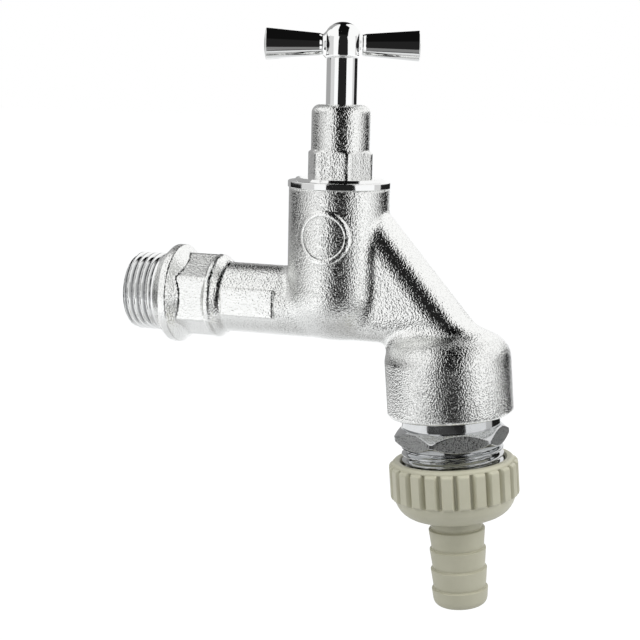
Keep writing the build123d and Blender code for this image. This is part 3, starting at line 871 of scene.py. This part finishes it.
# Inlet end: thread, ring and hexagon
def make_inlet_end():
    angle = round_angles(HEX_SIDES)
    hexagon = hex_radius(angle - pi / 6, INLET_HEX_AF, INLET_HEX_CUT, INLET_HEX_SOFT)
    ring_line = rounded([
        (TUBE_R, TUBE_START, 0),
        (TUBE_R, HEX_X, RING_FOOT_ROUND),
        (RING_R, RING_LAND_X, RING_LAND_ROUND),
        (RING_R, RING_X, RING_ROUND),
        (INLET_THREAD_R, 0.0, 0),
    ])
    rows = []
    for x, r in dense(ring_line, INLET_ROW):
        if x > HEX_FULL_X:
            fall = soft_max(TUBE_R, TUBE_R + (HEX_CHAMFER_X - x) * tan(HEX_CHAMFER), HEX_CHAMFER_SOFT)
            collar = min(TUBE_R + (x - COLLAR_X) * COLLAR_SLOPE, COLLAR_R)
            rows.append((x, soft_min(soft_max(hexagon, collar, HEX_SOFT), fall, HEX_SOFT)))
        elif x > RING_LAND_X:
            rows.append((x, soft_max(r, hexagon, RING_HEX_SOFT)))
        else:
            rows.append((x, r))
    lead_r = INLET_THREAD_R - INLET_LEAD
    for x in np.arange(-THREAD_ROW, -INLET_THREAD_L, -THREAD_ROW):
        fade = min(1.0, max(0.0, (-INLET_RUN_OUT - x) / THREAD_FADE))
        cut = THREAD_DEPTH * fade * thread_cut(x / PITCH - angle / (2 * pi))
        rows.append((x, np.minimum(INLET_THREAD_R - cut, lead_r + (x + INLET_THREAD_L))))
    rows.append((-INLET_THREAD_L, np.minimum(rows[-1][1], lead_r)))
    rows.append((-INLET_THREAD_L, INLET_BORE_R + INLET_MOUTH))
    rows.append((-INLET_THREAD_L + INLET_MOUTH, INLET_BORE_R))
    rows.append((TUBE_START, INLET_BORE_R))
    skin = wrap(rows, HEX_SIDES)
    inlet = add_piece("inlet_end", skin, "tap_body", "valve_body", [CAST_FINE, THREAD], INLET)
    corners = inlet.data.vertices
    turned = [corners[p.vertices[0]].co.x < INLET_SEAM * MM for p in inlet.data.polygons]
    inlet.data.polygons.foreach_set("material_index", np.array(turned, int))


# Bare raised pad on the tube
def pad_rim(inset, up):
    """Outline of the pad, inset from its edge, at a height over its top."""
    half_l = PAD_L / 2 - inset
    half_h = PAD_H / 2 - inset
    r = max(PAD_CORNER - inset, PAD_LEAST_CORNER)
    rim = []
    for side_x, side_z, start in ((1, 1, 0), (-1, 1, 90), (-1, -1, 180), (1, -1, 270)):
        for k in range(QUARTER_PARTS + 1):
            t = radians(start + 90 / QUARTER_PARTS * k)
            x = side_x * (half_l - r) + r * cos(t)
            z = side_z * (half_h - r) + r * sin(t)
            rim.append((PAD_X0 + PAD_L / 2 + x, -(TUBE_R + PAD_RAISE + up), z))
    return rim


def make_bare_pad():
    rims = [pad_rim(0.0, -PAD_SINK)]
    for k in range(QUARTER_PARTS + 1):
        t = radians(90 / QUARTER_PARTS * k)
        rims.append(pad_rim(PAD_EDGE_IN * (1 - cos(t)), PAD_EDGE_UP * (sin(t) - 1)))
    rims.append(pad_rim(PAD_TOP_IN, 0.0))
    around = len(rims[0])
    points = np.concatenate(rims)
    faces = band_faces(len(rims), around, flip=True)
    faces.append(list(range(len(points) - around, len(points))))
    add_piece("bare_pad", (points, faces), "tap_body", "valve_body", [CAST_FINE], sharp=60)


# Plain raised ring on the barrel
def make_plain_ring():
    middle_r = MEDALLION_R - MEDALLION_W / 2
    half_w = MEDALLION_W / 2 + MEDALLION_FOOT
    points = []
    for t in round_angles(MEDALLION_SIDES):
        for u in round_angles(MEDALLION_SECTION):
            flat_r = middle_r + half_w * cos(u)
            lift = MEDALLION_SINK * sin(u)
            if sin(u) > 0:
                lift = MEDALLION_RAISE * sin(u)**MEDALLION_CROWN
            across = flat_r * cos(t)
            depth = sqrt(BARREL_R**2 - across**2) + lift
            points.append((STEM_X + across, -depth, MEDALLION_Z + flat_r * sin(t)))
    faces = band_faces(MEDALLION_SIDES, MEDALLION_SECTION, closed=True, flip=True)
    add_piece("plain_ring", (points, faces), "tap_body", "valve_body", [CAST_FINE], sharp=80)


# Bonnet: turned flange, then the hexagon and the sleeve
def make_bonnet_flange():
    plug_r = BARREL_BORE_R - PLUG_PLAY
    rows = rounded([
        (SCREW_BORE_R, BONNET_HEX_LOW, 0),
        (STEP_R, BONNET_HEX_LOW, STEP_ROUND),
        (STEP_R + STEP_CONE, FLANGE_TOP, STEP_FOOT_ROUND),
        (FLANGE_R, FLANGE_TOP, FLANGE_TOP_ROUND),
        (FLANGE_R, BARREL_TOP, FLANGE_LOW_ROUND),
        (plug_r, BARREL_TOP, 0),
        (plug_r, BONNET_LOW, PLUG_ROUND),
        (SCREW_BORE_R, BONNET_LOW, 0),
    ], closed=True)
    skin = wrap(rows, FLANGE_SIDES, closed=True)
    add_piece("bonnet_flange", skin, "tap_body", "bonnet", [TURNED], STEM, sharp=30)


def make_bonnet_sleeve():
    hexagon = hex_radius(round_angles(HEX_SIDES), BONNET_HEX_AF, BONNET_HEX_CUT, BONNET_HEX_SOFT)
    low = BONNET_HEX_LOW - BONNET_HEX_SINK
    sleeve = rounded([
        (STEM_BORE_R, SLEEVE_TOP - SLEEVE_MOUTH, 0),
        (STEM_BORE_R + SLEEVE_MOUTH, SLEEVE_TOP, 0),
        (SLEEVE_R, SLEEVE_TOP, SLEEVE_ROUND),
        (SLEEVE_R, low, 0),
    ])
    rows = []
    for z, r in dense(sleeve, SLEEVE_ROW):
        if z < SLEEVE_LOW + SLEEVE_FOOT:
            limit = SLEEVE_R + (SLEEVE_LOW - z) / BONNET_HEX_CONE
            r = soft_max(r, soft_min(hexagon, limit, BONNET_CONE_SOFT), SLEEVE_FOOT_SOFT)
        rows.append((z, r))
    rows.append((low, SLEEVE_FOOT_R))
    rows.append((low, SLEEVE_LIP_R))
    rows.append((SCREW_BORE_TOP, SLEEVE_STEP_R))
    rows.append((SCREW_BORE_TOP, STEM_BORE_R))
    skin = wrap(rows, HEX_SIDES, BONNET_TURN, closed=True)
    add_piece("bonnet_sleeve", skin, "tap_body", "bonnet", [CAST_SLEEVE], STEM, sharp=50)


# T handle: shank with its ball hub, and the two flared arms
def make_handle_shank():
    rows = rounded([
        (AXIS_R, HUB_LOW + HUB_H, 0),
        (HUB_R, HUB_LOW + HUB_H, HUB_R * HUB_CROWN),
        (HUB_R * HUB_TAPER, HUB_LOW, HUB_FOOT_ROUND),
        (STEM_R, HUB_LOW, HUB_CREASE),
        (STEM_R, HANDLE_LOW, STEM_END_ROUND),
        (AXIS_R, HANDLE_LOW, 0),
    ], step=HANDLE_ARC_STEP)
    skin = wrap(rows, SHANK_SIDES)
    add_piece("handle_shank", skin, "spindle", "tee_handle", [POLISHED], HANDLE, sharp=35)


def make_handle_arms():
    ball_r = (ARM_END_R**2 + ARM_DOME**2) / (2 * ARM_DOME)
    dome_r = ARM_END_R - ARM_EDGE
    dome = []
    for k in range(DOME_ROWS + 1):
        r = dome_r * k / DOME_ROWS
        dome.append((ARM_HALF - ball_r + sqrt(ball_r**2 - r**2), max(r, AXIS_R)))
    flare = rounded([
        (dome_r, dome[-1][0], 0),
        (ARM_END_R, ARM_HALF - ARM_DOME, ARM_EDGE_ROUND),
        (ARM_ROOT_R, ARM_ROOT_AT, ARM_ROOT_ROUND),
        (ARM_NECK_R, ARM_ROOT_AT - ARM_NECK_L, ARM_NECK_ROUND),
        (ARM_BOSS_R, HUB_R - ARM_BOSS_IN, ARM_BOSS_ROUND),
        (ARM_BOSS_R, HUB_R - ARM_SINK, 0),
    ])
    skin = wrap(dome[:-1] + flare, ARM_SIDES)
    root = HANDLE @ Matrix.Translation((0, 0, ARM_Z))
    outward = Matrix.Rotation(pi / 2, 4, "Y")
    for side, turn in (("right", 0), ("left", pi)):
        place = root @ Matrix.Rotation(turn, 4, "Z") @ outward
        add_piece(f"handle_arm_{side}", skin, "spindle", "tee_handle", [POLISHED], place, sharp=35)


# Outlet nipple: neck, chamfered hexagon with ground flats, and hose thread
def make_outlet_nipple():
    angle = round_angles(HEX_SIDES)
    hexagon = hex_radius(angle, NIPPLE_HEX_AF, NIPPLE_HEX_CUT, NIPPLE_HEX_SOFT)
    lead_r = HOSE_THREAD_R - HOSE_LEAD
    rows = [
        (NIPPLE_TOP, NIPPLE_BORE_R),
        (NIPPLE_TOP, NECK_R - NECK_EDGE),
        (NIPPLE_TOP - NECK_EDGE, NECK_R),
        (NIPPLE_HEX_TOP + NECK_CUT, NECK_R),
        (NIPPLE_HEX_TOP + NECK_CUT, NECK_R - NECK_CUT),
        (NIPPLE_HEX_TOP, NECK_R - NECK_CUT),
    ]
    hex_start = len(rows)
    for z in np.linspace(NIPPLE_HEX_TOP, NIPPLE_HEX_LOW, NIPPLE_HEX_ROWS):
        near = min(NIPPLE_HEX_TOP - z, z - NIPPLE_HEX_LOW)
        cone = min(NIPPLE_FACE_R + near / tan(NIPPLE_CHAMFER), NIPPLE_HEX_R)
        rows.append((z, soft_min(hexagon, cone, NIPPLE_CONE_SOFT)))
    hex_end = len(rows) - 1
    rows.append((NIPPLE_HEX_LOW, lead_r))
    for z in np.arange(NIPPLE_HEX_LOW - HOSE_START, NIPPLE_END, -THREAD_ROW):
        fade = min(1.0, max(0.0, (NIPPLE_HEX_LOW - z + HOSE_FADE_UP) / THREAD_FADE))
        cut = THREAD_DEPTH * fade * thread_cut(z / PITCH - angle / (2 * pi))
        rows.append((z, np.minimum(HOSE_THREAD_R - cut, lead_r + (z - NIPPLE_END))))
    rows.append((NIPPLE_END, np.minimum(rows[-1][1], lead_r)))
    rows.append((NIPPLE_END, NIPPLE_WAY_R))
    rows.append((CHECK_LOW, NIPPLE_WAY_R))
    rows.append((CHECK_LOW, NIPPLE_BORE_R))
    skin = wrap(rows, HEX_SIDES, NIPPLE_TURN, closed=True)
    nipple = add_piece(
        "outlet_nipple_skin", skin, "tap_body", "outlet_nipple", [STEEL, GROUND], OUTLET, sharp=25
    )
    off = (angle + TINY) % (pi / 3)
    off_corner = np.minimum(off, pi / 3 - off) > CORNER_MARGIN
    ground = np.zeros((len(rows), HEX_SIDES), int)
    for i in range(hex_start, hex_end):
        on_flat = hexagon - np.minimum(rows[i][1], rows[i + 1][1]) < FLAT_MARGIN
        ground[i] = on_flat & off_corner
    nipple.data.polygons.foreach_set("material_index", ground.reshape(-1))


# Union nut: ribbed grip with a smooth rim and a domed floor
def make_ribbed_nut():
    steps = NUT_RIBS * RIB_SIDES
    pitch = 2 * pi / NUT_RIBS
    off = np.abs((round_angles(steps) + pitch / 2) % pitch - pitch / 2)
    groove = (1 - NUT_RIB_SHARE) * pitch / 2
    rib = np.clip((off - groove * GROOVE_FLOOR) / groove, 0, 1)
    rib = rib * rib * (3 - 2 * rib)
    outer = rounded([
        (NUT_BORE_R, NUT_TOP - NUT_MOUTH, 0),
        (NUT_BORE_R + NUT_MOUTH, NUT_TOP, NUT_MOUTH_ROUND),
        (NUT_BASE_R, NUT_TOP, NUT_SHOULDER),
        (NUT_BASE_R, NUT_LOW, NUT_DOME),
        (NUT_HOLE_R, NUT_LOW, NUT_HOLE_ROUND),
        (NUT_HOLE_R, TAIL_FLANGE_LOW, 0),
        (NUT_BORE_R, TAIL_FLANGE_LOW, NUT_FLOOR_ROUND),
    ], closed=True)
    rib_high = NUT_TOP - NUT_SHOULDER
    rib_low = rib_high - NUT_RIB_L
    rows = []
    for z, r in dense(outer + outer[:1], NUT_ROW)[:-1]:
        lift = 0.0
        if r > NUT_BASE_R - NUT_RIB_IN and rib_low < z < rib_high:
            ease = min(min(rib_high - z, z - rib_low) / NUT_RIB_EASE, 1.0)
            lift = max(NUT_BASE_R - r + NUT_RIB_DEPTH * sqrt(1 - (1 - ease)**2), 0.0)
        groove_cut = GROOVE_CUT * min(1.0, lift / NUT_RIB_DEPTH)
        rows.append((z, r - groove_cut + (lift + groove_cut) * rib))
    skin = wrap(rows, steps, closed=True)
    add_piece("ribbed_nut", skin, "union_nut", "union_nut", [NUT_PLASTIC], OUTLET, sharp=50)


# Hose tail: flange, neck and barbs
def make_barbed_tail():
    corners = [
        (TAIL_BORE_R, TAIL_FLANGE_TOP, 0),
        (TAIL_FLANGE_R, TAIL_FLANGE_TOP, TAIL_FLANGE_ROUND),
        (TAIL_FLANGE_R, TAIL_FLANGE_LOW, TAIL_FLANGE_ROUND),
        (TAIL_NECK_R, TAIL_FLANGE_LOW, 0),
    ]
    above_r = TAIL_NECK_R
    for i in range(BARBS):
        edge = BARB_TOP - i * BARB_PITCH
        corners.append((above_r, edge + BARB_GROOVE_TOP, BARB_GROOVE_TOP_ROUND))
        corners.append((above_r - BARB_GROOVE, edge + BARB_GROOVE_LOW, BARB_GROOVE_LOW_ROUND))
        corners.append((BARB_R, edge, BARB_ROUND))
        above_r = BARB_LOW_R
    corners.append((BARB_LOW_R, TAIL_END, TAIL_END_ROUND))
    corners.append((TAIL_BORE_R, TAIL_END, TAIL_MOUTH_ROUND))
    rows = dense(rounded(corners, closed=True), TAIL_ROW)
    skin = wrap(rows, TAIL_SIDES, closed=True)
    add_piece("barbed_tail", skin, "hose_tail", "hose_tail", [TAIL_PLASTIC], OUTLET)


# Check valve spring: closed end coils
def spring_rise(turn):
    """Height of the wire over the spring's foot after some turns."""
    ends = min(turn, SPRING_TURNS - turn)
    if ends >= SPRING_DEAD:
        free_turns = SPRING_TURNS - 2 * SPRING_DEAD
        return SPRING_CLOSED + (turn - SPRING_DEAD) * (SPRING_L - 2 * SPRING_CLOSED) / free_turns
    rise = SPRING_CLOSED * ends / SPRING_DEAD
    return rise if turn < SPRING_TURNS / 2 else SPRING_L - rise


def make_coil_spring():
    wire_r = SPRING_WIRE / 2
    points = []
    for k in range(SPRING_STEPS + 1):
        turn = SPRING_TURNS * k / SPRING_STEPS
        t = turn * 2 * pi
        z = SPRING_LOW + wire_r + spring_rise(turn)
        for u in round_angles(SPRING_SIDES):
            r = SPRING_R + wire_r * cos(u)
            points.append((r * cos(t), r * sin(t), z + wire_r * sin(u)))
    faces = band_faces(SPRING_STEPS + 1, SPRING_SIDES, flip=True)
    faces.append(list(range(SPRING_SIDES))[::-1])
    faces.append(list(range(len(points) - SPRING_SIDES, len(points))))
    skin = (points, faces)
    spring = add_piece("coil_spring", skin, "tap_body", "check_spring", [SPRING], OUTLET, sharp=60)
    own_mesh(spring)


dress_inside()
make_cast_body()
make_inlet_end()
make_bare_pad()
make_plain_ring()
make_bonnet_flange()
make_bonnet_sleeve()
make_handle_shank()
make_handle_arms()
make_outlet_nipple()
make_ribbed_nut()
make_barbed_tail()
make_coil_spring()

# Camera at the photograph's place, with lengths in millimetres and picture places in pixels
AZIMUTH = radians(18.642)
ELEVATION = radians(9.76)
ROLL = radians(1.174)
FOCAL_PX = 1403.585
FRAME_PX = 640
AIM_PX = (336.941, 303.91)
AIM_DISTANCE = 368.436
SENSOR = 36.0
CLIP_START_M = 0.01
CLIP_END_M = 50.0

view_back = Vector((sin(AZIMUTH) * cos(ELEVATION), -cos(AZIMUTH) * cos(ELEVATION), sin(ELEVATION)))
view_level = Vector((cos(AZIMUTH), sin(AZIMUTH), 0))
flat_back = Vector((view_back.x, view_back.y, 0)).normalized()


def make_camera():
    up = view_back.cross(view_level)
    right = view_level * cos(ROLL) + up * sin(ROLL)
    above = up * cos(ROLL) - view_level * sin(ROLL)
    aim_x = (AIM_PX[0] - FRAME_PX / 2) / FOCAL_PX * AIM_DISTANCE
    aim_y = -(AIM_PX[1] - FRAME_PX / 2) / FOCAL_PX * AIM_DISTANCE
    eye = Vector((STEM_X, 0, 0)) + view_back * AIM_DISTANCE - right * aim_x - above * aim_y
    lens = bpy.data.cameras.new("camera")
    lens.sensor_fit = "HORIZONTAL"
    lens.sensor_width = SENSOR
    lens.lens = FOCAL_PX / FRAME_PX * SENSOR
    lens.clip_start = CLIP_START_M
    lens.clip_end = CLIP_END_M
    camera = bpy.data.objects.new("camera", lens)
    camera.matrix_world = Matrix((
        (right.x, above.x, view_back.x, eye.x * MM),
        (right.y, above.y, view_back.y, eye.y * MM),
        (right.z, above.z, view_back.z, eye.z * MM),
        (0, 0, 0, 1),
    ))
    bpy.context.scene.collection.objects.link(camera)
    bpy.context.scene.camera = camera


# Studio in metres: white surround, pale floor, three softboxes, and cards that only show in reflections
CENTRE = Vector((0.052, 0.0, 0.0))
WORLD_DIM = (0.55, 0.56, 0.57)
FLOOR_Z = -0.30
FLOOR_REACH = 12.0
FLOOR_COLOUR = (0.72, 0.72, 0.72)
# Each lift is the floor's glow near the object and far off, then the two distances
SEEN_LIFT = (0.27, 0.61, 0.1, 0.9)
MIRRORED_LIFT = (0.0, 0.62, 0.22, 0.8)
LAMP_DISTANCE = 0.75
CARD_COLUMNS = 16
CARD_PARTS = 8


def make_world():
    """White where it is seen or mirrored, and dimmer where it lights the object."""
    world = bpy.data.worlds.new("studio")
    bpy.context.scene.world = world
    world.use_nodes = True
    tree = world.node_tree
    tree.nodes.clear()
    rays = tree.nodes.new("ShaderNodeLightPath").outputs
    seen = two_inputs(tree, "MAXIMUM", rays["Is Camera Ray"], rays["Is Glossy Ray"])
    seen = two_inputs(tree, "MAXIMUM", seen, rays["Is Transmission Ray"])
    dim = tree.nodes.new("ShaderNodeBackground")
    dim.inputs["Color"].default_value = (*WORLD_DIM, 1)
    white = tree.nodes.new("ShaderNodeBackground")
    white.inputs["Color"].default_value = (1, 1, 1, 1)
    mix = tree.nodes.new("ShaderNodeMixShader")
    out = tree.nodes.new("ShaderNodeOutputWorld")
    tree.links.new(seen, mix.inputs["Fac"])
    tree.links.new(dim.outputs["Background"], mix.inputs[1])
    tree.links.new(white.outputs["Background"], mix.inputs[2])
    tree.links.new(mix.outputs["Shader"], out.inputs["Surface"])


def stage_mesh(name, points, faces, material):
    """A mesh in metres that belongs to the studio and not to the part."""
    mesh = bpy.data.meshes.new(name)
    mesh.from_pydata(points, [], faces)
    mesh.materials.append(material)
    obj = bpy.data.objects.new(name, mesh)
    bpy.context.scene.collection.objects.link(obj)
    return obj


def make_floor():
    """Pale floor that keeps the shadow, lifted towards white where it is seen or mirrored."""
    mat, tree, node = shader("pale_floor", FLOOR_COLOUR, metallic=0.0, roughness=0.9)
    node.inputs["Specular IOR Level"].default_value = 0.0
    node.inputs["Emission Color"].default_value = (1, 1, 1, 1)
    rays = tree.nodes.new("ShaderNodeLightPath").outputs
    distance = object_distance(tree)
    mirrored = two_inputs(tree, "MULTIPLY", rays["Is Glossy Ray"], spread(tree, distance, *MIRRORED_LIFT))
    seen = two_inputs(tree, "MULTIPLY", rays["Is Camera Ray"], spread(tree, distance, *SEEN_LIFT))
    tree.links.new(two_inputs(tree, "MAXIMUM", mirrored, seen), node.inputs["Emission Strength"])
    corners = [(x * FLOOR_REACH, y * FLOOR_REACH, 0) for x, y in ((-1, -1), (1, -1), (1, 1), (-1, 1))]
    floor = stage_mesh("floor", corners, [(0, 1, 2, 3)], mat)
    floor.location = (CENTRE.x, CENTRE.y, FLOOR_Z)


def card_material(name, glow):
    """A black sheet with a grey glow of its own."""
    mat, _, node = shader(name, (0, 0, 0), metallic=0.0, roughness=1.0)
    node.inputs["Specular IOR Level"].default_value = 0.0
    node.inputs["Emission Color"].default_value = (glow, glow, glow, 1)
    node.inputs["Emission Strength"].default_value = 1.0
    return mat


def round_about(azimuth, elevation):
    """Direction by its azimuth from the camera's side, positive to the right, and its elevation."""
    flat = flat_back * cos(azimuth) + view_level * sin(azimuth)
    return flat * cos(elevation) + Vector((0, 0, sin(elevation)))


def overhead(across, tip):
    """Direction on an arch over the top: angle to its side, and along it from the camera to the back."""
    return (flat_back * cos(tip) + Vector((0, 0, sin(tip)))) * cos(across) + view_level * sin(across)


def card(name, direction, material, distance, edges, centre=CENTRE):
    """A sheet that only shows in reflections, through edges given as (v, first u, last u) in degrees."""
    rows = []
    for start, end in zip(edges, edges[1:]):
        for k in range(CARD_PARTS):
            t = k / CARD_PARTS
            rows.append([a + (b - a) * t for a, b in zip(start, end)])
    rows.append(edges[-1])
    points = []
    for v, first_u, last_u in rows:
        for j in range(CARD_COLUMNS + 1):
            u = first_u + (last_u - first_u) * j / CARD_COLUMNS
            points.append(centre + direction(radians(u), radians(v)) * distance)
    faces = []
    for i in range(len(rows) - 1):
        for j in range(CARD_COLUMNS):
            a = i * (CARD_COLUMNS + 1) + j
            b = a + CARD_COLUMNS + 1
            faces.append((a, a + 1, b + 1, b))
    sheet = stage_mesh(name, points, faces, material)
    sheet.visible_camera = False
    sheet.visible_shadow = False
    sheet.visible_diffuse = False
    sheet.visible_transmission = False


def make_cards():
    black = card_material("black_card", 0.005)
    dark = card_material("dark_card", 0.016)
    smoke = card_material("smoke_card", 0.08)
    grey = card_material("grey_card", 0.38)
    pale = card_material("pale_card", 0.50)
    low = card_material("low_card", 0.22)
    faint = card_material("faint_card", 0.68)
    card("grey_front_low", round_about, low, 0.4, [(-45, -23, 31), (-18, -24, 31)])
    card("dark_front", round_about, dark, 0.4, [
        (-18, -24, 31),
        (-12, -25, 32),
        (-9.5, -19, 26),
        (-6.5, -20, 27),
        (-4.5, -31, 34),
        (5, -30, 32),
        (15, -25, 28),
        (42, -23, 26),
    ])
    card("dark_overhead", overhead, black, 0.9, [
        (30, -26, 28),
        (72, -22, 26),
        (98, -12, 24),
        (108, -9, 9),
        (118, -9, 9),
        (128, -13, 13),
        (156, -13, 13),
    ])
    under_bell = OUTLET @ Vector((0, 0, -30)) * MM
    card("smoke_low", round_about, smoke, 0.09, [(-24, -58, 95), (-8, -58, 95)], under_bell)
    card("grey_overhead_left", overhead, grey, 0.9, [(116, -38, -10), (158, -38, -14)])
    card("dark_back_right", round_about, dark, 0.9, [(-16, 102, 150), (10, 102, 150)])
    card("pale_under", round_about, pale, 0.2, [(-89, -180, 180), (-64, -180, 180)])
    card("dark_back_left", round_about, dark, 0.9, [(-18, -140, -95), (-0.5, -140, -95)])
    card("faint_left", round_about, faint, 1.0, [(-22, -92, -58), (24, -92, -58)])
    card("faint_right", round_about, faint, 1.0, [(-22, 82, 102), (24, 82, 102)])
    card("grey_back_left", round_about, grey, 1.0, [(-22, -178, -92), (20, -178, -92)])


def softbox(name, azimuth, elevation, width, height, power):
    """A soft lamp that lights the object and isn't mirrored; angles in degrees, as the cards have them."""
    light = bpy.data.lights.new(name, "AREA")
    light.shape = "RECTANGLE"
    light.size = width
    light.size_y = height
    light.energy = power
    direction = round_about(radians(azimuth), radians(elevation))
    lamp = bpy.data.objects.new(name, light)
    lamp.location = CENTRE + direction * LAMP_DISTANCE
    lamp.rotation_euler = direction.to_track_quat("Z", "Y").to_euler()
    lamp.visible_glossy = False
    bpy.context.scene.collection.objects.link(lamp)


make_camera()
make_world()
make_floor()
make_cards()
softbox("softbox_left", azimuth=-62, elevation=32, width=0.5, height=0.6, power=2.2)
softbox("softbox_right", azimuth=66, elevation=32, width=0.5, height=0.6, power=3.0)
softbox("softbox_top", azimuth=0, elevation=82, width=0.6, height=0.6, power=1.7)

bpy.context.scene.view_settings.view_transform = "Standard"
